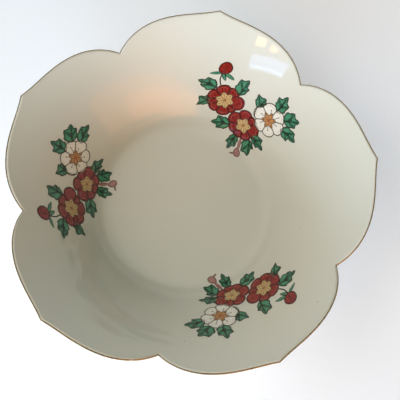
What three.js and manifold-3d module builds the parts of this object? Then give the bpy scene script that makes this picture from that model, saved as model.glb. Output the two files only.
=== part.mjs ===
// A five-petalled porcelain serving bowl: a flat round well, a straight flaring wall cut into five
// pointed petals, a turned foot ring, a gilt line along the lip, and three sprays of raised enamel
// flowers inside the wall. Millimetres, +Z up, the foot on z = 0, one petal's point towards +Y.
import * as THREE from "three";
import { TessellateModifier } from "three/addons/modifiers/TessellateModifier.js";
import { mergeVertices } from "three/addons/utils/BufferGeometryUtils.js";
import Module from "manifold-3d";

const wasm = await Module();
wasm.setup();

// ---- Driving dimensions ------------------------------------------------------------------------

// Plan of the rim
const TIP_RADIUS = 115; // from the bowl's axis to the point of a petal
const PETALS = 5;
const PETAL_DEPTH = 14.5; // how much nearer the axis a notch is than a point
const POINT_PULL = 3.4; // how far the point is drawn out past the petal's round shoulder
const POINT_ANGLE = 5.8; // degrees over which that pull fades
const SHOULDER_POWER = 3.6; // the higher, the rounder the shoulder and the sharper the notch

// Section of the bowl
const WELL_RADIUS = 57.3; // where the line of the wall would meet the flat floor
const WELL_FILLET = 21;
const WALL_ANGLE_LOW = 48; // degrees from level, just above the fillet
const WALL_ANGLE_LIP = 44.5; // degrees from level, at the point of a petal
const FLOOR_THICKNESS = 5;
const WALL_THICKNESS_LOW = 4.6;
const LIP_THICKNESS = 2.6;

// Foot ring
const FOOT_HEIGHT = 7;
const FOOT_SET_IN = 5.5; // from the edge of the flat underside to the ring's root
const FOOT_ROOT_WIDTH = 7;
const FOOT_BEARING_WIDTH = 2.6; // the flat, unglazed line that it stands on
const FOOT_BEVEL = 0.9;

// Gilding and enamel
const GILT_THICKNESS = 0.3;
const GILT_SPREAD = 50; // degrees of the rounded lip to each side of its crest
const ENAMEL_THICKNESS = 0.4;
const CLEARANCE = 0.3; // between the porcelain and what is laid on it, and between enamels
const SPRAY_INSET = 45; // in plan, from the circle of the points to the middle of a spray
const SPRAYS = [
  { azimuth: 65, drop: 1.2 }, // drop is down the slope: each spray was laid on by eye
  { azimuth: 180, drop: 0 },
  { azimuth: 305, drop: -0.3 },
];

// Fineness of the meshes
const SEGMENTS_PER_PETAL = 20;
const FOOT_SEGMENTS = 72;
const ENAMEL_EDGE = 5; // the longest edge of an enamel's mesh, so that it follows the wall

// ---- Materials ---------------------------------------------------------------------------------

const finish = (color, roughness, metalness = 0) =>
  new THREE.MeshStandardMaterial({ color, roughness, metalness });
const PORCELAIN = finish(0xe2dfd3, 0.12);
const BISCUIT = finish(0xdcd3c0, 0.75);
const GILT = finish(0xb08a45, 0.3, 1);
const RED = finish(0x98201a, 0.3);
const GOLD_TAN = finish(0xbb9a5a, 0.35);
const WHITE = finish(0xf3efe6, 0.2);
const BROWN = finish(0xa06a3a, 0.35);
const GREEN = finish(0x2f7d59, 0.25);
const PINK = finish(0xb27d78, 0.3);

// ---- The inner face of the bowl ----------------------------------------------------------------

const radians = THREE.MathUtils.degToRad;
const PETAL_STEP = 360 / PETALS;
const FLOOR_LEVEL = FOOT_HEIGHT + FLOOR_THICKNESS;

// Distance from the axis to the rim, at an angle in degrees round the axis from +X.
function rimRadius(degrees) {
  const half = PETAL_STEP / 2;
  const turned = (((degrees - 90) % PETAL_STEP) + PETAL_STEP) % PETAL_STEP;
  const fromPoint = Math.min(turned, PETAL_STEP - turned);
  const point = POINT_PULL * (1 - Math.exp(-fromPoint / POINT_ANGLE));
  const shoulder =
    (PETAL_DEPTH - POINT_PULL) * (fromPoint / half) ** SHOULDER_POWER;
  return TIP_RADIUS - point - shoulder;
}

// The section of the inner face, from the axis out to past the tallest point: level floor, round
// fillet, then a wall that leans out a little more towards the lip. Its second axis is height.
const FILLET_REACH = WELL_FILLET * Math.tan(radians(WALL_ANGLE_LOW) / 2);
function innerSection() {
  const low = radians(WALL_ANGLE_LOW);
  const level = WELL_RADIUS - FILLET_REACH;
  const foot = new THREE.Vector2(
    level + WELL_FILLET * Math.sin(low),
    FLOOR_LEVEL + WELL_FILLET * (1 - Math.cos(low)),
  );
  const half = (TIP_RADIUS - foot.x) / 2;
  const middle = foot.clone().add(new THREE.Vector2(half, half * Math.tan(low)));
  const rise = half * Math.tan(radians(WALL_ANGLE_LIP));
  return new THREE.Path()
    .moveTo(0, FLOOR_LEVEL)
    .lineTo(level, FLOOR_LEVEL)
    .absarc(level, FLOOR_LEVEL + WELL_FILLET, WELL_FILLET, -Math.PI / 2, low - Math.PI / 2, false)
    .quadraticCurveTo(middle.x, middle.y, TIP_RADIUS, middle.y + rise);
}
const inner = innerSection();
const sectionLength = inner.getLength();
const FILLET_START = WELL_RADIUS - FILLET_REACH; // lengths along the section
const FILLET_END = FILLET_START + WELL_FILLET * radians(WALL_ANGLE_LOW);

// The length along the section at which it is a given distance from the axis.
function lengthAtRadius(radius) {
  let low = 0;
  let high = sectionLength;
  for (let i = 0; i < 40; i++) {
    const middle = (low + high) / 2;
    if (inner.getPoint(middle / sectionLength).x < radius) low = middle;
    else high = middle;
  }
  return low;
}

// A point of the section at a length along it: lifted off the inner face by lift, and carried
// on past that length, along the wall, by run.
function sectionPoint(length, lift, run = 0) {
  const at = inner.getPoint(length / sectionLength);
  const along = inner.getTangent(length / sectionLength);
  return new THREE.Vector2(
    at.x - along.y * lift + along.x * run,
    at.y + along.x * lift + along.y * run,
  );
}

function turned(section, degrees) {
  const angle = radians(degrees);
  return new THREE.Vector3(
    section.x * Math.cos(angle),
    section.x * Math.sin(angle),
    section.y,
  );
}

// ---- Rings that follow the petals --------------------------------------------------------------

const RIM_SEGMENTS = PETALS * SEGMENTS_PER_PETAL;
const LIP_ROUND = LIP_THICKNESS / 2;

// Where the wall stops and the rounded lip starts. The lip leans out, so its outermost point is
// further from the axis than this by its own round and by half the wall's slant.
const lipEnds = new Map();
function lipEnd(degrees) {
  if (!lipEnds.has(degrees)) {
    const reach = LIP_ROUND * (1 + Math.sin(radians(WALL_ANGLE_LIP)));
    lipEnds.set(degrees, lengthAtRadius(rimRadius(degrees) - reach));
  }
  return lipEnds.get(degrees);
}

// A lathe whose rings are then drawn in or out to the petals. Each station is a function from an
// angle to a point of the section.
function petalLathe(stations) {
  const outline = stations.map((station) => station(90));
  const geometry = new THREE.LatheGeometry(outline, RIM_SEGMENTS);
  const position = geometry.getAttribute("position");
  for (let i = 0; i <= RIM_SEGMENTS; i++) {
    const degrees = ((i % RIM_SEGMENTS) * 360) / RIM_SEGMENTS;
    stations.forEach((station, j) => {
      const at = turned(station(degrees), degrees);
      position.setXYZ(i * stations.length + j, at.x, at.y, at.z);
    });
  }
  return geometry;
}

const wallThickness = (up) =>
  WALL_THICKNESS_LOW + (LIP_THICKNESS - WALL_THICKNESS_LOW) * up;

// A station part of the way up the wall, from 0 at the fillet to 1 at the lip.
const wallStation = (up, lift) => (degrees) =>
  sectionPoint(FILLET_END + up * (lipEnd(degrees) - FILLET_END), lift);

// A station on a round about the middle of the lip, at an angle from the wall's inner side.
const lipStation = (angle, round) => (degrees) =>
  sectionPoint(
    lipEnd(degrees),
    round * Math.cos(radians(angle)) - LIP_ROUND,
    round * Math.sin(radians(angle)),
  );

// ---- The pieces --------------------------------------------------------------------------------

const WALL_STEPS = 4;
const FILLET_STEPS = 4;
const LIP_STEPS = 5;
const steps = (count) => Array.from({ length: count + 1 }, (_, i) => i / count);

// The edge of the flat underside: where the outer face of the wall, carried on down, reaches it.
const outerFoot = sectionPoint(FILLET_END, -WALL_THICKNESS_LOW);
const UNDERSIDE_RADIUS =
  outerFoot.x - (outerFoot.y - FOOT_HEIGHT) / Math.tan(radians(WALL_ANGLE_LOW));

function bowlBody() {
  const floor = steps(1).map((t) => () => sectionPoint(t * FILLET_START, 0));
  const fillet = steps(FILLET_STEPS)
    .slice(1)
    .map((t) => () => sectionPoint(FILLET_START + t * (FILLET_END - FILLET_START), 0));
  const inside = steps(WALL_STEPS).slice(1).map((t) => wallStation(t, 0));
  const lip = steps(LIP_STEPS).slice(1, -1).map((t) => lipStation(180 * t, LIP_ROUND));
  const outside = steps(WALL_STEPS)
    .reverse()
    .map((t) => wallStation(t, -wallThickness(t)));
  const underside = [UNDERSIDE_RADIUS, 0].map((r) => () => new THREE.Vector2(r, FOOT_HEIGHT));
  const stations = [floor, fillet, inside, lip, outside, underside].flat();
  return petalLathe(stations.reverse());
}

function footRing() {
  const root = UNDERSIDE_RADIUS - FOOT_SET_IN;
  const middle = root - FOOT_ROOT_WIDTH / 2;
  const half = FOOT_BEARING_WIDTH / 2;
  const section = [
    [middle - half, 0],
    [middle + half, 0],
    [middle + half + FOOT_BEVEL, FOOT_BEVEL],
    [root, FOOT_HEIGHT],
    [root - FOOT_ROOT_WIDTH, FOOT_HEIGHT],
    [middle - half - FOOT_BEVEL, FOOT_BEVEL],
    [middle - half, 0],
  ].map(([x, y]) => new THREE.Vector2(x, y));
  return new THREE.LatheGeometry(section, FOOT_SEGMENTS).rotateX(Math.PI / 2);
}

function giltRimLine() {
  const near = LIP_ROUND + CLEARANCE;
  const arc = steps(3).map((t) => 90 + GILT_SPREAD * (2 * t - 1));
  const stations = [
    ...arc.map((angle) => lipStation(angle, near)),
    ...arc.reverse().map((angle) => lipStation(angle, near + GILT_THICKNESS)),
  ];
  return petalLathe([...stations, stations[0]]);
}

// ---- Enamel flowers ----------------------------------------------------------------------------
// A spray is drawn flat, in millimetres from its middle: x to the right and y up the wall, for
// someone looking from the bowl's axis. Each outline is a function of how much it is grown, so
// that what lies behind it can be cut back to a clearance.

// A round flower whose edge is scalloped into petals, the first of them at angle first.
const blossom = (x, y, radius, valley, petals, first = 0) => (grow) => {
  const step = (2 * Math.PI) / petals;
  const inward = valley + grow;
  const outward = 2 * (radius + grow) - inward * Math.cos(step / 2);
  const at = (angle, distance) => [
    x + distance * Math.cos(angle),
    y + distance * Math.sin(angle),
  ];
  const start = radians(first) - step / 2;
  const shape = new THREE.Shape().moveTo(...at(start, inward));
  for (let i = 0; i < petals; i++)
    shape.quadraticCurveTo(
      ...at(start + (i + 0.5) * step, outward),
      ...at(start + (i + 1) * step, inward),
    );
  return shape;
};

// A leaf with a main tip and two side tips, from the end of its stalk to its tip.
const leaf = (stalk, tip, width) => (grow) => {
  const axis = new THREE.Vector2(tip[0] - stalk[0], tip[1] - stalk[1]);
  const length = axis.length() + 2 * grow;
  const half = width / 2 + grow;
  axis.normalize();
  const at = (along, across) => [
    stalk[0] + axis.x * (along * length - grow) - axis.y * across * half,
    stalk[1] + axis.y * (along * length - grow) + axis.x * across * half,
  ];
  return new THREE.Shape()
    .moveTo(...at(0, 0))
    .quadraticCurveTo(...at(0.12, -1), ...at(0.5, -0.95))
    .lineTo(...at(0.78, -1))
    .lineTo(...at(0.77, -0.48))
    .lineTo(...at(1, 0))
    .lineTo(...at(0.77, 0.48))
    .lineTo(...at(0.78, 1))
    .lineTo(...at(0.5, 0.95))
    .quadraticCurveTo(...at(0.12, 1), ...at(0, 0));
};

const outlineOf = (points) => () =>
  new THREE.Shape(points.map(([x, y]) => new THREE.Vector2(x, y)));

// The parts of a spray, front to back: name, finish, outline. A stamen disc lies in a hole in
// its flower.
const SPRAY_PARTS = [
  ["large_bloom_stamens", GOLD_TAN, blossom(-19.3, 6.8, 5.4, 4.7, 6)],
  ["large_bloom", RED, blossom(-19.3, 6.5, 11.4, 9.9, 8, 22)],
  ["small_bloom_stamens", GOLD_TAN, blossom(0, -4.2, 5, 4.2, 5, 90)],
  ["small_bloom", RED, blossom(0.4, -3.6, 10.4, 9, 7, 60)],
  ["white_bloom_heart", BROWN, blossom(13.5, 10.7, 4.6, 3.6, 6, 30)],
  ["white_bloom", WHITE, blossom(13.5, 10.7, 10.6, 8.2, 6)],
  ["red_bud", RED, blossom(-28.6, 28.3, 4.6, 4.3, 5, 90)],
  [
    "bud_sepals",
    GREEN,
    outlineOf([
      [-26.5, 16],
      [-25.4, 16.6],
      [-28.2, 21],
      [-28, 22.8],
      [-25, 20.2],
      [-26, 23.2],
      [-20, 22.6],
      [-25, 25.6],
      [-28.6, 25],
      [-31.5, 25.4],
      [-36.7, 22.7],
      [-31, 22.8],
      [-29.4, 22.6],
      [-29.3, 20.4],
    ]),
  ],
  ["leaf_far_left", GREEN, leaf([-28, 13.5], [-42, 17], 8)],
  ["leaf_left", GREEN, leaf([-27, 3], [-36.6, 2.7], 8.4)],
  ["leaf_top", GREEN, leaf([-12.6, 14], [-11.6, 26], 9.5)],
  ["leaf_low_left", GREEN, leaf([-7.5, -8.3], [-20.6, -11], 8.4)],
  ["leaf_between", GREEN, leaf([3, 11.6], [1.6, 21.6], 8)],
  ["leaf_crown", GREEN, leaf([15.4, 18.5], [16.6, 31.4], 9)],
  ["leaf_high_right", GREEN, leaf([20.8, 17.4], [31.6, 25.2], 8.8)],
  ["leaf_right", GREEN, leaf([23, 12.2], [37, 15.4], 7.8)],
  ["leaf_low_right", GREEN, leaf([7.4, -6.4], [20.2, -9], 8.4)],
  ["leaf_root", GREEN, leaf([-1, -11], [-1.8, -23.6], 8.8)],
  [
    "pink_bud",
    PINK,
    outlineOf([
      [2.8, -13],
      [4.8, -13],
      [6.4, -18.4],
      [8.8, -22.4],
      [8, -24.8],
      [2.2, -25.6],
      [4.6, -23.2],
      [4.6, -20.6],
      [3.6, -17],
    ]),
  ],
];

// A leaf that grows into leaf_low_right and is one enamel with it.
const LOW_LEAF = leaf([8.6, -8.4], [12.4, -19.6], 7.6);

const CURVE_STEPS = 3;

function prism(shape, depth) {
  const geometry = new THREE.ExtrudeGeometry(shape, {
    depth,
    bevelEnabled: false,
    curveSegments: CURVE_STEPS,
  });
  geometry.deleteAttribute("normal");
  geometry.deleteAttribute("uv");
  const merged = mergeVertices(geometry, 1e-4);
  return new wasm.Manifold(
    new wasm.Mesh({
      numProp: 3,
      vertProperties: merged.getAttribute("position").array,
      triVerts: new Uint32Array(merged.index.array),
    }),
  );
}

function geometryOf(solid) {
  const mesh = solid.getMesh();
  return new THREE.BufferGeometry()
    .setAttribute("position", new THREE.BufferAttribute(mesh.vertProperties, 3))
    .setIndex(new THREE.BufferAttribute(mesh.triVerts, 1))
    .toNonIndexed();
}

// The flat enamels of one spray, each cut back from those in front of it.
function flatEnamels() {
  const front = [];
  return SPRAY_PARTS.map(([name, material, outline]) => {
    let solid = prism(outline(0), ENAMEL_THICKNESS);
    if (name === "leaf_low_right")
      solid = solid.add(prism(LOW_LEAF(0), ENAMEL_THICKNESS));
    for (const cutter of front) solid = solid.subtract(cutter);
    const grown = prism(outline(CLEARANCE), 3 * ENAMEL_THICKNESS);
    front.push(grown.translate([0, 0, -ENAMEL_THICKNESS]));
    return { name, material, geometry: geometryOf(solid) };
  });
}

// A flat enamel laid on the wall: across it by arc, and up and down it by slope.
function layOn(flat, spray) {
  const middle = lengthAtRadius(TIP_RADIUS - SPRAY_INSET) - spray.drop;
  const fine = new TessellateModifier(ENAMEL_EDGE, 12).modify(flat);
  const position = fine.getAttribute("position");
  for (let i = 0; i < position.count; i++) {
    const length = middle + position.getY(i);
    const across = inner.getPoint(length / sectionLength).x;
    const degrees = spray.azimuth - THREE.MathUtils.radToDeg(position.getX(i) / across);
    const at = turned(sectionPoint(length, CLEARANCE + position.getZ(i)), degrees);
    position.setXYZ(i, at.x, at.y, at.z);
  }
  fine.computeVertexNormals();
  return fine;
}

// ---- Assembly ----------------------------------------------------------------------------------

// The origin is at the middle of the outline, level with the bottom of the foot. With an odd
// number of petals that lies a little to one side of the bowl's axis.
function middleOfOutline() {
  const box = new THREE.Box2();
  for (let i = 0; i < RIM_SEGMENTS; i++) {
    const degrees = (i * 360) / RIM_SEGMENTS;
    const at = turned(new THREE.Vector2(rimRadius(degrees), 0), degrees);
    box.expandByPoint(new THREE.Vector2(at.x, at.y));
  }
  return box.getCenter(new THREE.Vector2());
}

function piece(name, geometry, material) {
  const mesh = new THREE.Mesh(geometry, material.clone());
  mesh.name = name;
  return mesh;
}

const bowl = new THREE.Group();
bowl.add(piece("bowl_body", bowlBody(), PORCELAIN));
bowl.add(piece("foot_ring", footRing(), BISCUIT));
bowl.add(piece("gilt_rim_line", giltRimLine(), GILT));
SPRAYS.forEach((spray, i) => {
  for (const { name, material, geometry } of flatEnamels())
    bowl.add(piece(`spray_${i + 1}_${name}`, layOn(geometry, spray), material));
});
const offset = middleOfOutline();
bowl.position.set(-offset.x, -offset.y, 0);

const part = new THREE.Group();
part.add(bowl);
export default part;
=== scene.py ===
# A five-petalled porcelain serving bowl with three sprays of overglaze enamel flowers and a gilt
# lip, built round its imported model. Metres, +Z up, one petal's point towards +Y.
import math

import bpy
import numpy as np
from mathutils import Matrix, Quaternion, Vector


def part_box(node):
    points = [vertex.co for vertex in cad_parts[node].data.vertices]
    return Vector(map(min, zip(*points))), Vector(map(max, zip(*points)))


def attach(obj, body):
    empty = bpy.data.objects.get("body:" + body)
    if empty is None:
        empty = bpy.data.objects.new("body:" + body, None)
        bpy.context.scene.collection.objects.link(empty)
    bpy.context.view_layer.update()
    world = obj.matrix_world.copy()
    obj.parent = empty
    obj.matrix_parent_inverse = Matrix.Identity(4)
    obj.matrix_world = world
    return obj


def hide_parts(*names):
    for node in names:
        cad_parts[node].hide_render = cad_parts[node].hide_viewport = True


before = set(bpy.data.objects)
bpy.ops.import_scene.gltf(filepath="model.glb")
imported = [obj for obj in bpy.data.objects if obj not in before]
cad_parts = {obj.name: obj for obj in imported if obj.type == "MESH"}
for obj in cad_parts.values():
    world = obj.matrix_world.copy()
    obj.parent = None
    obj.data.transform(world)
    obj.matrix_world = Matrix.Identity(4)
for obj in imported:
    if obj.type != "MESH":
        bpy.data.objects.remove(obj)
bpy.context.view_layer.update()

# ---- Camera ------------------------------------------------------------------------------------
# Held by hand over the near side of the table, looking steeply down into the bowl and turned a
# little to the left.
CAMERA_PLACE = Vector((0.00905, -0.11026, 0.44724))
CAMERA_AIM = Vector((0.00799, 0.00158, 0.012))
CAMERA_ROLL = math.radians(9.4)
CAMERA_LENS = 59.85  # millimetres, as the frame's width is
FRAME_WIDTH = 36

camera = bpy.data.objects.new("camera", bpy.data.cameras.new("camera"))
camera.data.lens = CAMERA_LENS
camera.data.sensor_width = FRAME_WIDTH
camera.data.clip_start = 0.01
camera.location = CAMERA_PLACE
camera.rotation_mode = "QUATERNION"
camera_turn = (CAMERA_AIM - CAMERA_PLACE).to_track_quat("-Z", "Y")
camera.rotation_quaternion = camera_turn @ Quaternion((0, 0, 1), CAMERA_ROLL)
bpy.context.scene.collection.objects.link(camera)
bpy.context.scene.camera = camera
bpy.context.scene.view_settings.view_transform = "Standard"

# ---- Table top and light -----------------------------------------------------------------------
# A plain matt white table, in a room whose walls are pale at their foot and dim olive above. Broad
# lights shade the bowl: windows on its near and left sides, and lamps. Small lights, two wooden
# walls and a pale ceiling stand for what the glaze mirrors.
TABLE_WIDTH = 8.0
TABLE_COLOUR = (234, 240, 252)
TABLE_CLOUD_COLOUR = (238, 244, 254)
TABLE_CLOUD_SIZE = 0.35
TABLE_GLOW = 0.22
ROOM_COLOUR = (94, 97, 72)
SKIRTING_COLOUR = (214, 214, 212)
SKIRTING_TOP, ROOM_FOOT = 0.1, 0.34  # sines of the slopes up to which, and from which, each is seen


def paint(red, green, blue):
    """A colour as a colour chart gives it, 0 to 255, made the linear colour that a shader takes."""
    chart = [channel / 255 for channel in (red, green, blue)]
    return [c / 12.92 if c < 0.04045 else ((c + 0.055) / 1.055) ** 2.4 for c in chart] + [1]


class Finish:
    """A material with one Principled shader, and short ways to add the nodes that drive it."""

    def __init__(self, name, **settings):
        self.material = bpy.data.materials.new(name)
        self.material.use_nodes = True
        self.nodes = self.material.node_tree.nodes
        self.links = self.material.node_tree.links
        self.shader = next(n for n in self.nodes if n.type == "BSDF_PRINCIPLED")
        self.place = self.nodes.new("ShaderNodeTexCoord").outputs["Object"]
        for socket, value in settings.items():
            self.shader.inputs[socket.replace("_", " ")].default_value = value

    def drive(self, socket, source):
        self.links.new(source, self.shader.inputs[socket])

    def grain(self, size, detail=2.0, offset=0.0):
        """Cloudy noise whose clouds are about size metres across."""
        shift = self.nodes.new("ShaderNodeMapping")
        shift.inputs["Location"].default_value = (offset, offset, offset)
        noise = self.nodes.new("ShaderNodeTexNoise")
        noise.inputs["Scale"].default_value = 1 / size
        noise.inputs["Detail"].default_value = detail
        self.links.new(self.place, shift.inputs["Vector"])
        self.links.new(shift.outputs["Vector"], noise.inputs["Vector"])
        return noise.outputs["Fac"]

    def specks(self, spacing, size):
        """1 inside rare round specks, size metres in radius, one to each spacing cubed, else 0."""
        cells = self.nodes.new("ShaderNodeTexVoronoi")
        cells.inputs["Scale"].default_value = 1 / spacing
        self.links.new(self.place, cells.inputs["Vector"])
        edge = size / spacing
        return self.between(cells.outputs["Distance"], edge, 0.5 * edge)

    def between(self, source, low, high, to_low=0.0, to_high=1.0):
        """A value that runs from to_low, where source is low, to to_high, where it is high."""
        span = self.nodes.new("ShaderNodeMapRange")
        ends = {"From Min": low, "From Max": high, "To Min": to_low, "To Max": to_high}
        for socket, value in ends.items():
            span.inputs[socket].default_value = value
        self.links.new(source, span.inputs["Value"])
        return span.outputs["Result"]

    def mix(self, share, first, second):
        """The first colour where share is 0 and the second where it is 1. A colour is a chart
        colour or another node's output."""
        mixer = self.nodes.new("ShaderNodeMix")
        mixer.data_type = "RGBA"  # sockets 6 and 7, and output 2, are the ones for colours
        self.links.new(share, mixer.inputs["Factor"])
        for socket, colour in ((mixer.inputs[6], first), (mixer.inputs[7], second)):
            if isinstance(colour, tuple):
                socket.default_value = paint(*colour)
            else:
                self.links.new(colour, socket)
        return mixer.outputs[2]

    def attribute(self, name):
        """A value that the piece's mesh carries at each of its vertices."""
        reader = self.nodes.new("ShaderNodeAttribute")
        reader.attribute_name = name
        return reader.outputs["Fac"]

    def relief(self, height, depth):
        """Raises and lowers the surface by depth metres as height goes from 0 to 1."""
        bump = self.nodes.new("ShaderNodeBump")
        bump.inputs["Distance"].default_value = depth
        self.links.new(height, bump.inputs["Height"])
        self.drive("Normal", bump.outputs["Normal"])


def start_fresh():
    """Nothing is selected, so that the next operator acts only on what it adds."""
    if bpy.context.object and bpy.context.object.mode != "OBJECT":
        bpy.ops.object.mode_set(mode="OBJECT")
    bpy.ops.object.select_all(action="DESELECT")


start_fresh()
bpy.ops.mesh.primitive_plane_add(size=TABLE_WIDTH)
table = bpy.context.object
table.name = "table_top"
table_finish = Finish("matt_white_table", Roughness=0.75, Emission_Strength=TABLE_GLOW)
cloud = table_finish.grain(TABLE_CLOUD_SIZE)
table_finish.drive("Base Color", table_finish.mix(cloud, TABLE_COLOUR, TABLE_CLOUD_COLOUR))
table.data.materials.append(table_finish.material)

room = bpy.data.worlds.new("pale_room")
bpy.context.scene.world = room
room.use_nodes = True
air = room.node_tree.nodes
direction = air.new("ShaderNodeTexCoord").outputs["Generated"]
height_of_gaze = air.new("ShaderNodeSeparateXYZ")
upward = air.new("ShaderNodeMapRange")
upward.interpolation_type = "SMOOTHSTEP"
upward.inputs["From Min"].default_value = SKIRTING_TOP
upward.inputs["From Max"].default_value = ROOM_FOOT
walls = air.new("ShaderNodeMix")
walls.data_type = "RGBA"
walls.inputs[6].default_value = paint(*SKIRTING_COLOUR)
walls.inputs[7].default_value = paint(*ROOM_COLOUR)
room.node_tree.links.new(direction, height_of_gaze.inputs["Vector"])
room.node_tree.links.new(height_of_gaze.outputs["Z"], upward.inputs["Value"])
room.node_tree.links.new(upward.outputs["Result"], walls.inputs["Factor"])
room.node_tree.links.new(walls.outputs[2], air["Background"].inputs["Color"])

BOWL_MIDDLE = Vector((0, 0, 0.04))
FAR_WALL = Vector((0.036, 0.087, 0.056))
LIGHT_DISTANCE = 1.6
COOL, WARM, AMBER = (205, 230, 255), (255, 222, 186), (255, 176, 110)


def area_light(name, azimuth, elevation, aim, width, height, power, colour):
    """A light that faces aim, LIGHT_DISTANCE from it, the way that the two angles say in degrees."""
    turn, rise = math.radians(azimuth), math.radians(elevation)
    level = math.cos(rise)
    place = aim + LIGHT_DISTANCE * Vector((level * math.cos(turn), level * math.sin(turn), math.sin(rise)))
    lamp = bpy.data.lights.new(name, "AREA")
    lamp.shape = "RECTANGLE"
    lamp.size = width
    lamp.size_y = height
    lamp.energy = power
    lamp.color = paint(*colour)[:3]
    holder = bpy.data.objects.new(name, lamp)
    holder.location = place
    holder.rotation_mode = "QUATERNION"
    holder.rotation_quaternion = (aim - place).to_track_quat("-Z", "Y")
    holder.visible_camera = False
    bpy.context.scene.collection.objects.link(holder)
    return holder


# Broad lights, which the glaze doesn't mirror: azimuth, elevation, width, watts and colour.
for name, azimuth, elevation, width, power, colour in (
    ("bright_window", 270, 11, 0.55, 19, COOL),
    ("sky_over_the_sill", 240, 11, 0.55, 9, COOL),
    ("second_window", 180, 45, 1.1, 9, (236, 244, 255)),
    ("room_lamps", 225, 45, 1.1, 8.5, WARM),
    ("amber_lamp", 300, 20, 0.6, 6.2, AMBER),
    ("far_wall", 120, 12, 0.6, 2, (255, 250, 244)),
    ("ceiling_lamp", 0, 60, 1.2, 2.0, (214, 228, 255)),
):
    broad = area_light(name, azimuth, elevation, BOWL_MIDDLE, width, width, power, colour)
    broad.visible_glossy = False

# What the glaze mirrors, which doesn't shade it: azimuth, elevation, width, height, watts, colour.
for name, azimuth, elevation, width, height, power, colour in (
    ("window_panes", 241.5, 24.9, 0.42, 0.06, 0.4, (150, 190, 255)),
    ("window_foot", 241, 23.7, 0.4, 0.02, 0.15, (176, 204, 255)),
    ("yellow_lamp", 247.9, 28.3, 0.1, 0.05, 0.15, (255, 206, 110)),
    ("orange_lamp", 241.9, 27.9, 0.08, 0.05, 0.14, (255, 160, 80)),
    ("wooden_wall", 305, 15, 1.9, 0.34, 3, (255, 160, 90)),
    ("lit_wooden_wall", 295, 15, 1.3, 0.2, 1.6, (255, 160, 90)),
    ("pale_ceiling", 90, 80, 2.2, 2.2, 9, (250, 246, 240)),
):
    mirrored = area_light(name, azimuth, elevation, FAR_WALL, width, height, power, colour)
    mirrored.visible_diffuse = False

# ---- Bowl --------------------------------------------------------------------------------------
# The bowl itself: white porcelain, jiggered over a round mould and then cut to five pointed
# petals. A clear, faintly warm glaze covers it, with a little iron speck here and there.
TIP_RADIUS = 0.115
PETALS = 5
PETAL_DEPTH = 0.0145
POINT_PULL = 0.0034  # how far a petal's point is drawn out past the round of its shoulders
POINT_ANGLE = 5.8  # degrees to each side of the point in which that mostly dies away
SHOULDER_POWER = 3.6  # a higher one makes the shoulders squarer
WELL_RADIUS = 0.0573
WELL_FILLET = 0.021
WALL_ANGLE_LOW = math.radians(48)
WALL_ANGLE_LIP = math.radians(44.5)
WALL_THICKNESS_LOW = 0.0046
LIP_THICKNESS = 0.0026
LIP_ROUND = LIP_THICKNESS / 2
FLOOR_THICKNESS = 0.005
UNDERSIDE_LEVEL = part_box("bowl_body")[0].z
FLOOR_LEVEL = UNDERSIDE_LEVEL + FLOOR_THICKNESS
FILLET_START = WELL_RADIUS - WELL_FILLET * math.tan(WALL_ANGLE_LOW / 2)
FILLET_END = FILLET_START + WELL_FILLET * WALL_ANGLE_LOW  # both are lengths along the inner face
HEEL_START = 0.1  # share of the way up the outer wall
HEEL_REACH = 0.0042
UNDERSIDE_RADIUS = 0.05
AXIS_Y = sum(corner.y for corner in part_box("foot_ring")) / 2  # the frame's origin isn't on the bowl's axis
ANGLE_STEPS = 72 * PETALS
MERGE_DISTANCE = 1e-6


def rim_radius(angle):
    """How far the outermost porcelain is from the axis, at an angle from +X."""
    petal_step = 360 / PETALS
    turned = (np.degrees(angle) - 90) % petal_step
    from_point = np.minimum(turned, petal_step - turned)
    point = POINT_PULL * (1 - np.exp(-from_point / POINT_ANGLE))
    shoulder = (PETAL_DEPTH - POINT_PULL) * (2 * from_point / petal_step) ** SHOULDER_POWER
    return TIP_RADIUS - point - shoulder


def soft_curve(start, corner, end, share):
    """The place, by its share of the way, on a curve that leaves start and meets end towards corner."""
    return [
        (1 - share) ** 2 * s + 2 * share * (1 - share) * c + share**2 * e
        for s, c, e in zip(start, corner, end)
    ]


def inner_section():
    """Lengths, radii and heights along the inner face: level floor, round fillet, leaning wall."""
    floor_radii = np.linspace(0, FILLET_START, 20)[:-1]
    bend = np.linspace(0, WALL_ANGLE_LOW, 80)
    bend_radii = FILLET_START + WELL_FILLET * np.sin(bend)
    bend_heights = FLOOR_LEVEL + WELL_FILLET * (1 - np.cos(bend))
    start = (bend_radii[-1], bend_heights[-1])
    half = (TIP_RADIUS - start[0]) / 2
    middle = (start[0] + half, start[1] + half * math.tan(WALL_ANGLE_LOW))
    end = (TIP_RADIUS, middle[1] + half * math.tan(WALL_ANGLE_LIP))
    wall = soft_curve(start, middle, end, np.linspace(0, 1, 400)[1:])
    radii = np.concatenate([floor_radii, bend_radii, wall[0]])
    heights = np.concatenate([np.full_like(floor_radii, FLOOR_LEVEL), bend_heights, wall[1]])
    lengths = np.concatenate([[0], np.cumsum(np.hypot(np.diff(radii), np.diff(heights)))])
    return lengths, radii, heights


SECTION_LENGTHS, SECTION_RADII, SECTION_HEIGHTS = inner_section()


def section_at(length, lift=0.0, run=0.0):
    """Radius and height at a length along the inner face, lifted off it and carried on along it."""
    slope_radii = np.interp(length, SECTION_LENGTHS, np.gradient(SECTION_RADII, SECTION_LENGTHS))
    slope_heights = np.interp(length, SECTION_LENGTHS, np.gradient(SECTION_HEIGHTS, SECTION_LENGTHS))
    radius = np.interp(length, SECTION_LENGTHS, SECTION_RADII)
    height = np.interp(length, SECTION_LENGTHS, SECTION_HEIGHTS)
    moved_radius = radius - slope_heights * lift + slope_radii * run
    moved_height = height + slope_radii * lift + slope_heights * run
    return moved_radius, moved_height


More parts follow.
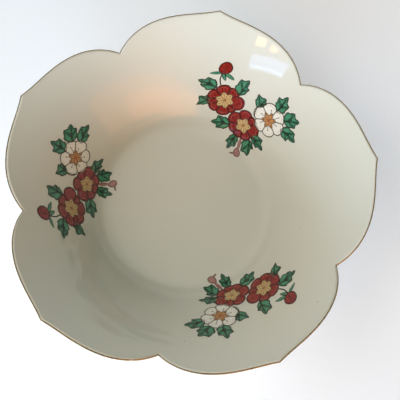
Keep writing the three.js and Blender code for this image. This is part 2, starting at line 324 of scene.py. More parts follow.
def lip_end(angle):
    """The length along the inner face at which the wall stops and its rounded lip starts."""
    reach = LIP_ROUND * (1 + math.sin(WALL_ANGLE_LIP))
    return np.interp(rim_radius(angle) - reach, SECTION_RADII, SECTION_LENGTHS)


def wall_ring(up, outside=False):
    """A ring part of the way up the wall, from 0 at the fillet to 1 at the lip."""
    thickness = WALL_THICKNESS_LOW + (LIP_THICKNESS - WALL_THICKNESS_LOW) * up
    lift = -thickness if outside else 0.0
    return lambda angle: section_at(FILLET_END + up * (lip_end(angle) - FILLET_END), lift)


def lip_ring(turn, around):
    """A ring on a round about the middle of the lip, turned from the inner face over to the outer."""
    lift = around * math.cos(turn) - LIP_ROUND
    run = around * math.sin(turn)
    return lambda angle: section_at(lip_end(angle), lift, run)


def level_ring(radius, height):
    """A plain round ring."""
    return lambda angle: (np.full_like(angle, radius), np.full_like(angle, height))


def inner_ring(length):
    """A ring at one length along the inner face."""
    return lambda angle: section_at(np.full_like(angle, length))


def heel_rings(count):
    """The soft turn from the outer wall in to the underside."""
    wall = [float(value[0]) for value in wall_ring(HEEL_START, outside=True)(np.zeros(1))]
    low = [float(value[0]) for value in wall_ring(0, outside=True)(np.zeros(1))]
    corner = (low[0] - (low[1] - UNDERSIDE_LEVEL) / math.tan(WALL_ANGLE_LOW), UNDERSIDE_LEVEL)
    under = (corner[0] - HEEL_REACH, UNDERSIDE_LEVEL)
    shares = np.linspace(0, 1, count + 2)[1:]
    return [level_ring(*soft_curve(wall, corner, under, share)) for share in shares]


def turned_ring_shape(name, rings, closed):
    """Turns a section about the bowl's axis, then draws each of its rings in or out to the petals."""
    start_fresh()
    section = [tuple(float(value[0]) for value in ring(np.array([math.pi / 2]))) for ring in rings]
    bpy.ops.mesh.primitive_plane_add(size=0.001, location=(section[0][0], 0, section[0][1]))
    piece = bpy.context.object
    piece.name = name
    bpy.ops.object.mode_set(mode="EDIT")
    bpy.ops.mesh.select_all(action="SELECT")
    bpy.ops.mesh.merge(type="CENTER")
    for (radius, height), (next_radius, next_height) in zip(section, section[1:]):
        step = (next_radius - radius, 0, next_height - height)
        bpy.ops.mesh.extrude_region_move(TRANSFORM_OT_translate={"value": step})
    if closed:
        bpy.ops.mesh.select_all(action="SELECT")
        bpy.ops.mesh.remove_doubles(threshold=MERGE_DISTANCE)
    bpy.ops.object.mode_set(mode="OBJECT")
    bpy.ops.object.transform_apply(location=True, rotation=True, scale=True)
    places = np.array([(vertex.co.x, vertex.co.z) for vertex in piece.data.vertices])
    nearest = [int(np.argmin(np.hypot(*(np.array(section) - place).T))) for place in places]
    piece.data.attributes.new("ring", "INT", "POINT").data.foreach_set("value", nearest)
    bpy.ops.object.mode_set(mode="EDIT")
    bpy.ops.mesh.select_all(action="SELECT")
    bpy.ops.mesh.spin(steps=ANGLE_STEPS, angle=2 * math.pi, center=(0, 0, 0), axis=(0, 0, 1))
    bpy.ops.mesh.select_all(action="SELECT")
    bpy.ops.mesh.remove_doubles(threshold=MERGE_DISTANCE)
    bpy.ops.mesh.normals_make_consistent(inside=False)
    bpy.ops.object.mode_set(mode="OBJECT")
    count = len(piece.data.vertices)
    ring_numbers = np.empty(count, dtype=np.int32)
    piece.data.attributes["ring"].data.foreach_get("value", ring_numbers)
    places = np.empty(3 * count)
    piece.data.vertices.foreach_get("co", places)
    places = places.reshape(-1, 3)
    angles = np.arctan2(places[:, 1], places[:, 0])
    for number, ring in enumerate(rings):
        here = ring_numbers == number
        radius, height = ring(angles[here])
        places[here, 0] = radius * np.cos(angles[here])
        places[here, 1] = radius * np.sin(angles[here]) + AXIS_Y
        places[here, 2] = height
    piece.data.vertices.foreach_set("co", places.ravel())
    piece.data.attributes.remove(piece.data.attributes["ring"])
    piece.data.update()
    bpy.ops.object.shade_smooth()
    return piece


bowl_rings = [inner_ring(length) for length in np.linspace(0, FILLET_START, 16)]
bowl_rings += [inner_ring(length) for length in np.linspace(FILLET_START, FILLET_END, 25)[1:]]
bowl_rings += [wall_ring(up) for up in np.linspace(0, 1, 41)[1:]]
bowl_rings += [lip_ring(turn, LIP_ROUND) for turn in np.linspace(0, math.pi, 13)[1:-1]]
bowl_rings += [wall_ring(up, outside=True) for up in np.linspace(1, HEEL_START, 37)]
bowl_rings += heel_rings(9)
bowl_rings += [level_ring(radius, UNDERSIDE_LEVEL) for radius in np.linspace(UNDERSIDE_RADIUS, 0, 11)]
bowl = turned_ring_shape("glazed_bowl", bowl_rings, closed=False)

GLAZE_WARM = (212, 211, 197)
GLAZE_COOL = (216, 217, 206)
GLAZE_CLOUD_SIZE = 0.06
IRON_SPECK = (92, 74, 58)
SPECK_SPACING = 0.021
SPECK_RADIUS = 0.0004
RIPPLE_SIZE = 0.009
RIPPLE_DEPTH = 0.00001

glaze = Finish("clear_glaze_on_porcelain", Coat_Weight=1.0, Coat_Roughness=0.03, Coat_IOR=1.5)
glaze_tint = glaze.mix(glaze.grain(GLAZE_CLOUD_SIZE), GLAZE_WARM, GLAZE_COOL)
iron_specks = glaze.specks(SPECK_SPACING, SPECK_RADIUS)
glaze.drive("Base Color", glaze.mix(iron_specks, glaze_tint, IRON_SPECK))
glaze.drive("Roughness", glaze.between(glaze.grain(0.03), 0.3, 0.7, 0.29, 0.31))
glaze.relief(glaze.grain(RIPPLE_SIZE, 1, offset=0.3), RIPPLE_DEPTH)
bowl.data.materials.append(glaze.material)
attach(bowl, "root")
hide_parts("bowl_body")

# ---- Foot ring ---------------------------------------------------------------------------------
# The ring that the bowl stands on, turned from the same clay. Its sides are glazed, and the flat
# line that it stands on is wiped bare, so that it doesn't stick to the kiln shelf.
FOOT_ROOT = 0.05349
FOOT_ROOT_WIDTH = 0.007
FOOT_BEARING_WIDTH = 0.0026
FOOT_BEVEL = 0.0009
FOOT_MIDDLE = FOOT_ROOT - FOOT_ROOT_WIDTH / 2
FOOT_FLARE = 0.0014  # how far the root spreads where it meets the underside
FLARE_START = 0.6  # share of the way up
BARE_CLAY = (205, 190, 165)
PALE_CLAY = (226, 214, 193)
BARE_HEIGHT = 0.0007
GLAZE_EDGE = 0.0003


def foot_rings():
    """The foot's section, once round from the middle of its bearing line."""
    half = FOOT_BEARING_WIDTH / 2
    round_steps = np.linspace(0, math.pi / 2, 7)
    outer_low = FOOT_MIDDLE + half + FOOT_BEVEL
    side = [(FOOT_MIDDLE, 0.0), (FOOT_MIDDLE + half, 0.0)]
    for turn in round_steps[1:]:
        rounded = FOOT_MIDDLE + half + FOOT_BEVEL * math.sin(turn)
        side.append((rounded, FOOT_BEVEL * (1 - math.cos(turn))))
    for up in np.linspace(0, 1, 14)[1:]:
        spread = max(0.0, (up - FLARE_START) / (1 - FLARE_START)) ** 2
        lean = (FOOT_ROOT - outer_low) * up + FOOT_FLARE * spread
        side.append((outer_low + lean, FOOT_BEVEL + (UNDERSIDE_LEVEL - FOOT_BEVEL) * up))
    inner = [(2 * FOOT_MIDDLE - radius, height) for radius, height in reversed(side)]
    return [level_ring(radius, height) for radius, height in side + inner]


foot = turned_ring_shape("glazed_foot_ring", foot_rings(), closed=True)
foot_glaze = Finish("foot_glaze_and_bare_clay", Coat_Roughness=0.04, Coat_IOR=1.5)
height_up = foot_glaze.nodes.new("ShaderNodeSeparateXYZ")
foot_glaze.links.new(foot_glaze.place, height_up.inputs["Vector"])
glazed = foot_glaze.between(height_up.outputs["Z"], BARE_HEIGHT, BARE_HEIGHT + GLAZE_EDGE)
foot_tint = foot_glaze.mix(foot_glaze.grain(0.03), GLAZE_WARM, GLAZE_COOL)
clay = foot_glaze.mix(foot_glaze.grain(0.0008, 4), BARE_CLAY, PALE_CLAY)
foot_glaze.drive("Base Color", foot_glaze.mix(glazed, clay, foot_tint))
foot_glaze.drive("Roughness", foot_glaze.between(glazed, 0, 1, 0.85, 0.28))
foot_glaze.drive("Coat Weight", glazed)
foot_glaze.relief(foot_glaze.grain(0.0006, 4), 0.00004)
foot.data.materials.append(foot_glaze.material)
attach(foot, "root")
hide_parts("foot_ring")

# ---- Gilt line ---------------------------------------------------------------------------------
# A line of bright gold, brushed over the glaze on the crest of the lip and its inner side, and fired
# last. Use has rubbed it thin in places.
GILT_THICKNESS = 0.00006
GILT_START, GILT_END = math.radians(56), math.radians(98)  # turned over the lip from the inner face
GOLD = (158, 132, 78)
RUBBED_GOLD = (186, 172, 136)

gilt_turns = np.linspace(GILT_START, GILT_END, 7)
gilt_rings = [lip_ring(turn, LIP_ROUND - GILT_THICKNESS) for turn in gilt_turns]
gilt_rings += [lip_ring(turn, LIP_ROUND + GILT_THICKNESS) for turn in reversed(gilt_turns)]
gilt_rings.append(gilt_rings[0])
gilt_line = turned_ring_shape("gilt_lip_line", gilt_rings, closed=True)
gold = Finish("worn_bright_gold", Roughness=0.3)
rubbed = gold.between(gold.grain(0.004, 4), 0.62, 0.72)
gold.drive("Base Color", gold.mix(rubbed, GOLD, RUBBED_GOLD))
gold.drive("Metallic", gold.between(rubbed, 0, 1, 1, 0))
gold.drive("Roughness", gold.between(gold.grain(0.0015, 3), 0.3, 0.7, 0.22, 0.42))
gilt_line.data.materials.append(gold.material)
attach(gilt_line, "root")
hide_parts("gilt_rim_line")

# ---- Large bloom ------------------------------------------------------------------------------
# Each of the three sprays is painted over the fired glaze in the same way. An outline is drawn
# first, then glassy enamels are laid inside it thickly enough to stand proud, and melted on in a
# last, cooler firing. The large bloom is iron red, with tan stamens.
SPRAYS = [  # the angle of each about the axis, and how far it is set down the wall
    (math.radians(65), 0.0012),
    (math.radians(180), 0.0),
    (math.radians(305), -0.0003),
]
SPRAY_INSET = 0.045  # from the petal points in to the middle of a spray
MM = 0.001
EDGE_PROFILE = (  # shares of the way out to a pad's edge, and of its thickness there
    (1.0, 0.35), (0.985, 0.62), (0.955, 0.86), (0.9, 0.98),
    (0.8, 1.0), (0.6, 1.0), (0.35, 1.0), (0.0, 1.0),
)
ENAMEL_THICKNESS = 0.00014
BEAD_THICKNESS = 0.00008
SUNK = 0.00002  # how deep enamel melts into what it lies on
FURROW_DEPTH = 0.75  # share of the thickness
FURROW_WIDTH = 0.0004
LINE_WIDTH = 0.00062
LINE_FLATNESS = 0.42
LINE_LIFT = 0.00006
OUTLINE_LIFT = 0.00008
SEAM_WIDTH = 0.0005
SEAM_LIFT = 0.00007
SEAM_MARGIN = 0.2  # how many millimetres a seam stops short of the outline
PETAL_FULLNESS = 0.35  # how much wider a petal is outside its middle than inside it
# The paler stroke inside each petal's edge is a painted highlight along the petal's rounded rim.
HIGHLIGHT_STROKE_WIDTH = 0.00026
HIGHLIGHT_STROKE_REACH = 0.86  # share of its petal's reach
HIGHLIGHT_STROKE_SAG = 0.1
HIGHLIGHT_STROKE_SPREAD = 0.42  # share of its petal's width, to each side


def closed_curve(corners, steps=12):
    """An outline in metres, anticlockwise through corners in millimetres. Each corner also holds
    how far the outline bulges on its way to the next, as a share of that stretch's length."""
    points = []
    for (x, y, bulge), (next_x, next_y, _) in zip(corners, corners[1:] + corners[:1]):
        for share in np.arange(steps) / steps:
            swell = 4 * bulge * share * (1 - share)
            along = (x + (next_x - x) * share, y + (next_y - y) * share)
            points.append((along[0] + (next_y - y) * swell, along[1] - (next_x - x) * swell))
    return MM * np.array(points)


def distance_to_line(points, start, end):
    """How far each point is from the straight line from start to end."""
    start, end = np.array(start), np.array(end)
    along = np.clip(((points - start) @ (end - start)) / ((end - start) @ (end - start)), 0, 1)
    return np.hypot(*(points - start - along[:, None] * (end - start)).T)


def enamel_pad(outline, finish, thickness=ENAMEL_THICKNESS, furrows=(), base=0.0):
    """A pool of enamel: a disc inset ring by ring, given a thickness, and drawn out to an outline
    that has one radius at each angle about its middle. Its edge is round, and it thins at furrows."""
    start_fresh()
    middle = outline.mean(0)
    bpy.ops.mesh.primitive_circle_add(vertices=len(outline), radius=1, fill_type="NGON")
    pad = bpy.context.object
    bpy.ops.object.mode_set(mode="EDIT")
    bpy.ops.mesh.select_all(action="SELECT")
    for (outer, _), (inner, _) in zip(EDGE_PROFILE, EDGE_PROFILE[1:-1]):
        bpy.ops.mesh.inset(thickness=outer - inner)
    bpy.ops.mesh.poke()
    bpy.ops.mesh.select_all(action="SELECT")
    bpy.ops.mesh.extrude_region_move(TRANSFORM_OT_translate={"value": (0, 0, 1)})
    bpy.ops.mesh.select_all(action="SELECT")
    bpy.ops.mesh.normals_make_consistent(inside=False)
    bpy.ops.object.mode_set(mode="OBJECT")
    count = len(pad.data.vertices)
    places = np.empty(3 * count)
    pad.data.vertices.foreach_get("co", places)
    places = places.reshape(-1, 3)
    share = np.minimum(np.hypot(places[:, 0], places[:, 1]), 1)
    turn = np.arctan2(places[:, 1], places[:, 0])
    index = np.rint(turn / (2 * math.pi) * len(outline)).astype(int) % len(outline)
    reach = outline[index] - middle
    flat = middle + share[:, None] * reach
    from_edge = (1 - share) * np.hypot(*reach.T)
    edge_shares, edge_heights = zip(*reversed(EDGE_PROFILE))
    height = np.interp(share, edge_shares, edge_heights)
    for start, end in furrows:
        away = distance_to_line(flat, start, end)
        height = height * (1 - FURROW_DEPTH * np.exp(-((away / FURROW_WIDTH) ** 2)))
        from_edge = np.minimum(from_edge, away)
    top = places[:, 2] > 0.5
    places[:, :2] = flat
    places[:, 2] = np.where(top, base + thickness * height, base - SUNK)
    pad.data.vertices.foreach_set("co", places.ravel())
    pad.data.attributes.new("from_edge", "FLOAT", "POINT").data.foreach_set("value", from_edge / MM)
    pad.data.materials.append(finish.material)
    return pad


def pen_line(points, finish, width=LINE_WIDTH, lift=LINE_LIFT, closed=False, taper=1.0):
    """A thin raised line through points, in metres, that may taper towards its end."""
    start_fresh()
    curve = bpy.data.curves.new("pen_line", "CURVE")
    curve.dimensions = "3D"
    curve.bevel_depth = width / 2
    curve.bevel_resolution = 1
    curve.use_fill_caps = True
    spline = curve.splines.new("POLY")
    spline.points.add(len(points) - 1)
    spline.use_cyclic_u = closed
    for number, (x, y) in enumerate(points):
        spline.points[number].co = (x, y, 0, 1)
        spline.points[number].radius = 1 + (taper - 1) * number / (len(points) - 1)
    line = bpy.data.objects.new("pen_line", curve)
    bpy.context.scene.collection.objects.link(line)
    line.select_set(True)
    bpy.context.view_layer.objects.active = line
    bpy.ops.object.convert(target="MESH")
    line = bpy.context.object
    for vertex in line.data.vertices:
        vertex.co.z = vertex.co.z * LINE_FLATNESS + lift
    line.data.materials.append(finish.material)
    return line


def stroke(start, end, bow=0.0, steps=8):
    """Points in metres along a slightly bowed stroke between two points in millimetres."""
    share = np.linspace(0, 1, steps)
    across = (end[1] - start[1], start[0] - end[0])
    swell = 4 * bow * share * (1 - share)
    places = [start[k] + (end[k] - start[k]) * share + across[k] * swell for k in (0, 1)]
    return MM * np.stack(places, axis=1)


def dot(x, y, size, finish, lift=ENAMEL_THICKNESS):
    """A small bead of enamel, size millimetres across."""
    turns = np.arange(12) * math.pi / 6
    outline = MM * np.stack([x + size / 2 * np.cos(turns), y + size / 2 * np.sin(turns)], axis=1)
    return enamel_pad(outline, finish, thickness=BEAD_THICKNESS, base=lift - SUNK)


def lay_on_wall(piece, azimuth, drop):
    """Carries a flat drawing onto the wall: across it by arc, and up and down it by slope."""
    count = len(piece.data.vertices)
    places = np.empty(3 * count)
    piece.data.vertices.foreach_get("co", places)
    places = places.reshape(-1, 3)
    middle = np.interp(TIP_RADIUS - SPRAY_INSET, SECTION_RADII, SECTION_LENGTHS) - drop
    length = middle + places[:, 1]
    angle = azimuth - places[:, 0] / np.interp(length, SECTION_LENGTHS, SECTION_RADII)
    radius, height = section_at(length, places[:, 2])
    places = np.stack([radius * np.cos(angle), radius * np.sin(angle) + AXIS_Y, height], axis=1)
    piece.data.vertices.foreach_set("co", places.ravel())
    piece.data.update()


def paint_on_sprays(part, shapes):
    """Joins the flat shapes of one part, and lays a copy of it on the wall in each spray."""
    start_fresh()
    for shape in shapes:
        shape.select_set(True)
    bpy.context.view_layer.objects.active = shapes[0]
    bpy.ops.object.join()
    bpy.ops.object.shade_smooth()
    flat = bpy.context.object
    for number, (azimuth, drop) in enumerate(SPRAYS, 1):
        piece = bpy.data.objects.new(f"{part}_of_spray_{number}", flat.data.copy())
        bpy.context.scene.collection.objects.link(piece)
        lay_on_wall(piece, azimuth, drop)
        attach(piece, "root")
        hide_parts(f"spray_{number}_{part}")
    bpy.data.objects.remove(flat)


def glassy_enamel(name, edge, body, light, depth=0.9):
    """Enamel that is thin at its edge, where it shows the first colour, and pools inside it."""
    glass = Finish(name, Coat_Weight=0.45, Coat_Roughness=0.04, Coat_IOR=1.5)
    pooled = glass.between(glass.attribute("from_edge"), 0.1, depth)
    cloudy = glass.mix(glass.grain(0.0032, 3), body, light)
    glass.drive("Base Color", glass.mix(pooled, edge, cloudy))
    glass.drive("Roughness", glass.between(glass.grain(0.0012, 3), 0.3, 0.7, 0.18, 0.4))
    glass.relief(glass.grain(0.0009, 2), 0.000005)
    return glass


def drawn_line(name, first, second):
    """The matt pigment of a brushed line, which varies a little along its length."""
    pigment = Finish(name, Coat_Weight=0.3, Coat_Roughness=0.1)
    pigment.drive("Base Color", pigment.mix(pigment.grain(0.002, 3), first, second))
    pigment.drive("Roughness", pigment.between(pigment.grain(0.001, 2), 0.3, 0.7, 0.3, 0.55))
    return pigment


def bloom_reach(petals, rays):
    """The ray angles of a flower, and how far its petals reach along each. A petal is an egg from
    the flower's middle out, given by its angle in degrees, its reach and its width."""
    angles = np.arange(rays) * 2 * math.pi / rays
    steps = np.arange(0, 16, 0.02)  # millimetres out, to past the longest petal
    reach = np.zeros(rays)
    for turn, length, width in petals:
        along = np.cos(angles - math.radians(turn))[:, None] * steps
        across = np.sin(angles - math.radians(turn))[:, None] * steps
        place = 2 * along / length - 1
        inside = place**2 + (across / (width / 2 * (1 + PETAL_FULLNESS * place))) ** 2 <= 1
        reach = np.maximum(reach, (steps * inside).max(1))
    return angles, reach


def bloom(hub, petals, enamel, outline_finish, highlight_finish, hub_radius, rays=168):
    """A flower of petals round a hub: one pad furrowed between its petals, its outline and the
    seams between its petals drawn on it, and a paler stroke inside the edge of each petal, which
    is a painted highlight along the petal's rounded rim."""
    angles, reach = bloom_reach(petals, rays)
    around = np.stack([np.cos(angles), np.sin(angles)], axis=1)
    outline = MM * (np.array(hub) + reach[:, None] * around)
    turns = sorted(math.radians(turn) % (2 * math.pi) for turn, _, _ in petals)
    seams = []
    for turn, next_turn in zip(turns, turns[1:] + [turns[0] + 2 * math.pi]):
        between = [k for k in range(2 * rays) if turn < k * 2 * math.pi / rays < next_turn]
        lowest = min(between, key=lambda k: reach[k % rays]) % rays
        inner = np.array(hub) + hub_radius * around[lowest]
        outer = np.array(hub) + (reach[lowest] - SEAM_MARGIN) * around[lowest]
        seams.append((tuple(inner), tuple(outer)))
    furrows = [(MM * np.array(start), MM * np.array(end)) for start, end in seams]
    shapes = [enamel_pad(outline, enamel, furrows=furrows)]
    shapes.append(pen_line(outline, outline_finish, closed=True, lift=OUTLINE_LIFT))
    for start, end in seams:
        shapes.append(pen_line(stroke(start, end), outline_finish, width=SEAM_WIDTH, lift=SEAM_LIFT))
    # Painted highlight: a paler stroke along the inside of each petal's rim.
    side_to_side = np.linspace(-1, 1, 9)
    for turn, length, width in petals:
        bend = np.radians(turn) + HIGHLIGHT_STROKE_SPREAD * side_to_side * width / length
        near = length * (HIGHLIGHT_STROKE_REACH - HIGHLIGHT_STROKE_SAG * side_to_side**2)
        highlight_arc = MM * (np.array(hub) + near[:, None] * np.stack([np.cos(bend), np.sin(bend)], axis=1))
        shapes.append(pen_line(highlight_arc, highlight_finish, width=HIGHLIGHT_STROKE_WIDTH, lift=ENAMEL_THICKNESS))
    return shapes


iron_red = glassy_enamel("iron_red_enamel", (58, 8, 6), (118, 14, 9), (146, 24, 14))
gold_tan = glassy_enamel("tan_enamel", (132, 98, 62), (196, 160, 106), (214, 182, 128), 0.6)
red_line = drawn_line("red_brown_line", (50, 10, 9), (72, 16, 13))
# Pink strokes that paint the highlight along the rims of the red petals.
pink_painted_highlight = drawn_line("pink_painted_highlight_line", (160, 84, 74), (190, 118, 106))
olive_line = drawn_line("olive_line", (82, 84, 58), (112, 108, 72))
warm_brown_line = drawn_line("warm_brown_line", (134, 84, 44), (160, 106, 60))

LARGE_HUB = (-19.3, 6.7)
LARGE_PETALS = [  # the angle, reach and width of each, in degrees and millimetres
    (122, 11.5, 9.4), (66, 10.6, 8.6), (8, 13.4, 9.4), (-30, 10.6, 7.4),
    (-73, 11.4, 8.8), (-128, 10.8, 8.6), (-161, 11.4, 7.0), (169, 12.4, 7.8),
]
paint_on_sprays(
    "large_bloom",
    bloom(LARGE_HUB, LARGE_PETALS, iron_red, red_line, pink_painted_highlight, hub_radius=4.2),
)

STAMEN_TOP = 0.00022
STAMEN_THICKNESS = 0.00013
STAMEN_LINE_LIFT = 0.00023


def stamen_disc(hub, radius, lobes, first, enamel, line_finish, core_finish, depth=0.14):
    """The lobed middle of a flower: its outline, a line between each two lobes, a short stroke up
    the middle of each lobe with a bead at its end, and a bead on the centre."""
    turns = np.arange(96) * 2 * math.pi / 96
    scallop = radius * (1 - depth + depth * np.cos(lobes * (turns - math.radians(first))))
    outline = MM * np.stack([hub[0] + scallop * np.cos(turns), hub[1] + scallop * np.sin(turns)], axis=1)
    shapes = [enamel_pad(outline, enamel, STAMEN_THICKNESS, base=STAMEN_TOP - STAMEN_THICKNESS)]
    shapes.append(pen_line(outline, line_finish, width=0.0004, lift=0.00016, closed=True))

    def out_at(turn, share):
        return (hub[0] + radius * share * math.cos(turn), hub[1] + radius * share * math.sin(turn))

    for number in range(2 * lobes):
        turn = math.radians(first) + math.pi * number / lobes
        if number % 2:
            line = stroke(out_at(turn, 0.2), out_at(turn, 0.9 - 2 * depth), bow=0.05)
            shapes.append(pen_line(line, line_finish, width=0.00036, lift=STAMEN_LINE_LIFT))
        else:
            line = stroke(out_at(turn, 0.3), out_at(turn, 0.62), bow=0.1)
            shapes.append(pen_line(line, core_finish, width=0.00026, lift=STAMEN_LINE_LIFT))
            shapes.append(dot(*out_at(turn, 0.72), 0.9, line_finish, lift=STAMEN_TOP))
    shapes.append(dot(*hub, 0.36 * radius, core_finish, lift=STAMEN_TOP))
    return shapes


paint_on_sprays(
    "large_bloom_stamens",
    stamen_disc(LARGE_HUB, 6.0, 6, 0, gold_tan, olive_line, warm_brown_line),
)

# ---- Small bloom ------------------------------------------------------------------------------
# The second red flower, lower in the spray and partly over the white one. Its middle is shaped
# like a five-lobed star.
SMALL_HUB = (0.2, -4.2)
SMALL_PETALS = [
    (106, 11.2, 8.6), (54, 9.9, 8.2), (6, 12.0, 9.2), (-48, 10.4, 8.0),
    (-97, 9.7, 7.6), (-141, 10.4, 8.2), (168, 11.8, 9.0),
]
paint_on_sprays(
    "small_bloom",
    bloom(SMALL_HUB, SMALL_PETALS, iron_red, red_line, pink_painted_highlight, hub_radius=3.8),
)
paint_on_sprays(
    "small_bloom_stamens",
    stamen_disc(SMALL_HUB, 5.5, 5, 90, gold_tan, olive_line, warm_brown_line),
)

# ---- White bloom ------------------------------------------------------------------------------
# A white flower drawn in a fine dark line, its petals a film of white enamel, with an orange-brown
# heart and long stamens.
white_enamel = glassy_enamel("white_enamel", (206, 200, 186), (229, 226, 217), (238, 236, 228))
dark_line = drawn_line("dark_brown_line", (46, 32, 24), (70, 50, 38))
heart_brown = glassy_enamel("orange_brown_enamel", (116, 72, 38), (184, 128, 74), (204, 154, 98), 0.8)
rust_red = drawn_line("rust_red_enamel", (160, 62, 26), (182, 80, 36))
# Pale grey strokes that paint the highlight along the rims of the white petals.
pale_painted_highlight = drawn_line("pale_grey_painted_highlight_line", (196, 188, 172), (210, 202, 186))
WHITE_HUB = (13.5, 10.7)
WHITE_PETALS = [
    (-60, 10.6, 8.8), (5, 12.2, 9.0), (49, 12.0, 9.2),
    (114, 11.2, 9.2), (181, 11.8, 9.2), (-119, 11.6, 8.4),
]
paint_on_sprays(
    "white_bloom",
    bloom(WHITE_HUB, WHITE_PETALS, white_enamel, dark_line, pale_painted_highlight, hub_radius=3.6),
)
LONG_STAMENS = [(106, 7.0), (52, 8.2), (178, 6.8), (232, 6.4), (-62, 6.6), (8, 6.6)]  # angle, reach
LONG_STAMEN_START = 3.6
heart = stamen_disc(WHITE_HUB, 5.3, 6, 30, heart_brown, dark_line, rust_red, depth=0.2)
for turn, length in LONG_STAMENS:
    along = (math.cos(math.radians(turn)), math.sin(math.radians(turn)))
    near = (WHITE_HUB[0] + LONG_STAMEN_START * along[0], WHITE_HUB[1] + LONG_STAMEN_START * along[1])
    far = (WHITE_HUB[0] + length * along[0], WHITE_HUB[1] + length * along[1])
    heart.append(pen_line(stroke(near, far, 0.05), dark_line, width=0.0003, lift=STAMEN_TOP))
    heart.append(dot(*far, 0.8, heart_brown, lift=0.00018))
paint_on_sprays("white_bloom_heart", heart)

# ---- Buds -------------------------------------------------------------------------------------
# A red bud on a thin stalk at the top of the spray, held in three green sepals, and a small dull
# pink one that hangs below.
leaf_green = glassy_enamel("leaf_green_enamel", (14, 46, 33), (44, 116, 84), (86, 162, 124), 1.1)
leaf_line = drawn_line("dark_green_line", (10, 24, 18), (20, 38, 28))
dull_pink = glassy_enamel("dull_pink_enamel", (106, 54, 50), (154, 106, 100), (174, 130, 122), 0.7)


def blade(base, tip, width, enamel, line):
    """A slender pad, pointed at both ends, with its outline drawn."""
    bulge = width / 2 / math.hypot(tip[0] - base[0], tip[1] - base[1])
    outline = closed_curve([(*base, bulge), (*tip, bulge)], steps=24)
    return [enamel_pad(outline, enamel), pen_line(outline, line, width=0.0003, closed=True)]


bud_outline = closed_curve([
    (-32.9, 28.4, 0.12), (-31.6, 25.4, 0.1), (-28.9, 24.3, 0.1), (-25.8, 25.6, 0.12),
    (-24.5, 28.5, 0.12), (-26.3, 31.8, 0.12), (-28.9, 32.9, 0.12), (-31.7, 31.6, 0.12),
])
bud_seams = [stroke((-29.6, 25.0), (-30.2, 31.9), 0.12), stroke((-28.2, 25.0), (-27.0, 31.6), -0.12)]
bud = [enamel_pad(bud_outline, iron_red, thickness=0.00018)]
bud.append(pen_line(bud_outline, red_line, closed=True, lift=OUTLINE_LIFT))
bud += [pen_line(seam, red_line, width=0.00028, lift=0.00018) for seam in bud_seams]
paint_on_sprays("red_bud", bud)

sepals = blade((-28.8, 24.9), (-37.0, 22.7), 1.9, leaf_green, leaf_line)
sepals += blade((-29.2, 25.0), (-25.0, 20.1), 2.2, leaf_green, leaf_line)
sepals += blade((-28.2, 25.3), (-19.9, 22.4), 2.3, leaf_green, leaf_line)
upper_stalk = stroke((-29.3, 24.6), (-28.8, 20.4), 0.03)
lower_stalk = stroke((-28.8, 20.4), (-26.4, 16.2), 0.06)
bud_stalk = np.concatenate([upper_stalk, lower_stalk[1:]])
sepals.append(pen_line(bud_stalk, leaf_line, width=0.0008, lift=0.00005))
paint_on_sprays("bud_sepals", sepals)

pink = blade((3.0, -12.6), (5.9, -21.4), 1.9, dull_pink, red_line)
pink_outline = closed_curve([
    (4.4, -20.2, 0.1), (4.0, -23.6, 0.1), (6.0, -25.4, 0.12), (8.8, -24.0, 0.15), (7.6, -21.0, 0.1),
])
pink.append(enamel_pad(pink_outline, dull_pink))
pink.append(pen_line(pink_outline, red_line, width=0.0004, closed=True))
pink += blade((5.2, -24.4), (1.9, -25.8), 0.9, dull_pink, red_line)
paint_on_sprays("pink_bud", pink)

# ---- Leaves -----------------------------------------------------------------------------------
# Each leaf is one pool of clear green enamel with dark veins: a main tip, and a tip and a small
# tooth to each side. Its shape is given by its base, its right, main and left tips, and the bulges
# of its right and left sides.
LEAVES = {
    "leaf_far_left": [((-28.3, 13.8), (-36.7, 19.6), (-42.1, 17.1), (-39.3, 13.9), 0.2, 0.24)],
    "leaf_left": [((-27.4, 3.0), (-31.8, 6.9), (-36.4, 5.4), (-35.6, -0.9), 0.06, 0.12)],
    "leaf_top": [((-12.3, 13.8), (-8.1, 20.3), (-10.8, 26.2), (-15.8, 24.7), 0.12, 0.26)],
    "leaf_low_left": [((-8.0, -8.8), (-18.4, -5.8), (-20.6, -11.3), (-15.6, -14.3), 0.19, 0.2)],
    "leaf_between": [((2.3, 12.6), (6.9, 18.6), (5.0, 21.0), (-1.0, 21.3), 0.08, 0.15)],
    "leaf_crown": [((15.4, 19.0), (20.6, 27.6), (16.8, 31.9), (11.7, 28.0), 0.19, 0.16)],
    "leaf_high_right": [((22.3, 18.0), (31.8, 20.9), (32.4, 25.7), (26.8, 27.3), 0.18, 0.27)],
    "leaf_right": [((24.0, 12.4), (31.3, 10.2), (37.4, 15.2), (34.3, 18.3), 0.2, 0.21)],
    "leaf_low_right": [
        ((8.4, -7.2), (15.6, -11.0), (20.6, -8.8), (17.2, -3.7), 0.1, 0.2),
        ((9.2, -10.2), (8.1, -20.0), (13.5, -19.3), (14.3, -13.2), 0.3, 0.1),
    ],
    "leaf_root": [((-0.8, -12.4), (-4.7, -20.2), (-1.1, -24.2), (2.4, -20.6), 0.14, 0.14)],
}
NOTCH_FORWARD, NOTCH_DEPTH = 0.16, 0.46  # towards the main tip, and in towards the midrib
TOOTH_PLACE, DENT_PLACE = 0.56, 0.66  # from the base up to a side tip
VEIN_FORK, VEIN_REACH = 0.28, 0.78  # where the side veins leave the midrib, and how far they go
MIDRIB_REACH = 0.86
VEIN_WIDTH = 0.00052
LEAF_LINE_WIDTH = 0.0006
LEAF_LINE_LIFT = 0.00012


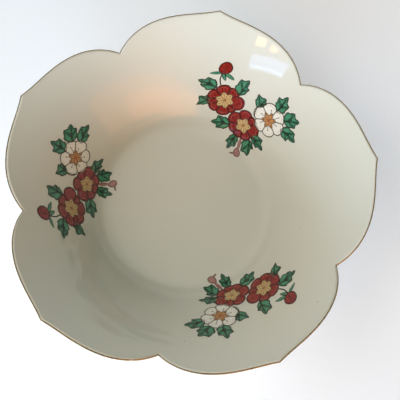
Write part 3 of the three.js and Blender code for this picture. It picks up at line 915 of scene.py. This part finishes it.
def leaf(base, right, main, left, right_bulge, left_bulge):
    """One leaf: its pool of enamel, its outline, its midrib, and a vein to each side tip."""
    base, right, main, left = (np.array(point) for point in (base, right, main, left))
    along = (main - base) / np.hypot(*(main - base))

    def notch(side):
        """The dip in the edge between a side tip and the main tip."""
        across = (side - base) - ((side - base) @ along) * along
        return side + NOTCH_FORWARD * (main - side) - NOTCH_DEPTH * across

    def tooth(side, bulge, sense):
        """A small tooth part of the way up to a side tip, and the dent in front of it."""
        run = side - base
        outward = sense * np.array([run[1], -run[0]])
        point = base + TOOTH_PLACE * run + (bulge + 0.03) * outward
        dent = base + DENT_PLACE * run + (0.7 * bulge - 0.02) * outward
        return point, dent

    right_tooth, right_dent = tooth(right, right_bulge, 1)
    left_tooth, left_dent = tooth(left, left_bulge, -1)
    outline = closed_curve([
        (*base, 0.5 * right_bulge), (*right_tooth, -0.05), (*right_dent, 0.3 * right_bulge),
        (*right, -0.05), (*notch(right), 0.1), (*main, 0.1), (*notch(left), -0.05),
        (*left, 0.3 * left_bulge), (*left_dent, -0.05), (*left_tooth, 0.5 * left_bulge),
    ])
    fork = base + VEIN_FORK * (main - base)
    veins = [
        (base, base + MIDRIB_REACH * (main - base)),
        (fork, fork + VEIN_REACH * (right - fork)),
        (fork, fork + VEIN_REACH * (left - fork)),
    ]
    furrows = [(MM * start, MM * end) for start, end in veins]
    shapes = [enamel_pad(outline, leaf_green, furrows=furrows)]
    shapes.append(pen_line(outline, leaf_line, width=LEAF_LINE_WIDTH, closed=True))
    for start, end in veins:
        vein = stroke(start, end, 0.02)
        shapes.append(pen_line(vein, leaf_line, VEIN_WIDTH, lift=LEAF_LINE_LIFT, taper=0.4))
    return shapes


for name, blades in LEAVES.items():
    shapes = [shape for measures in blades for shape in leaf(*measures)]
    if name == "leaf_between":
        stalk = [stroke((2.3, 12.8), (2.7, 9.2)), stroke((2.7, 9.2), (3.9, 6.3), 0.05)[1:]]
        stalk_line = pen_line(np.concatenate(stalk), leaf_line, LEAF_LINE_WIDTH, lift=LEAF_LINE_LIFT)
        shapes.append(stalk_line)
    paint_on_sprays(name, shapes)
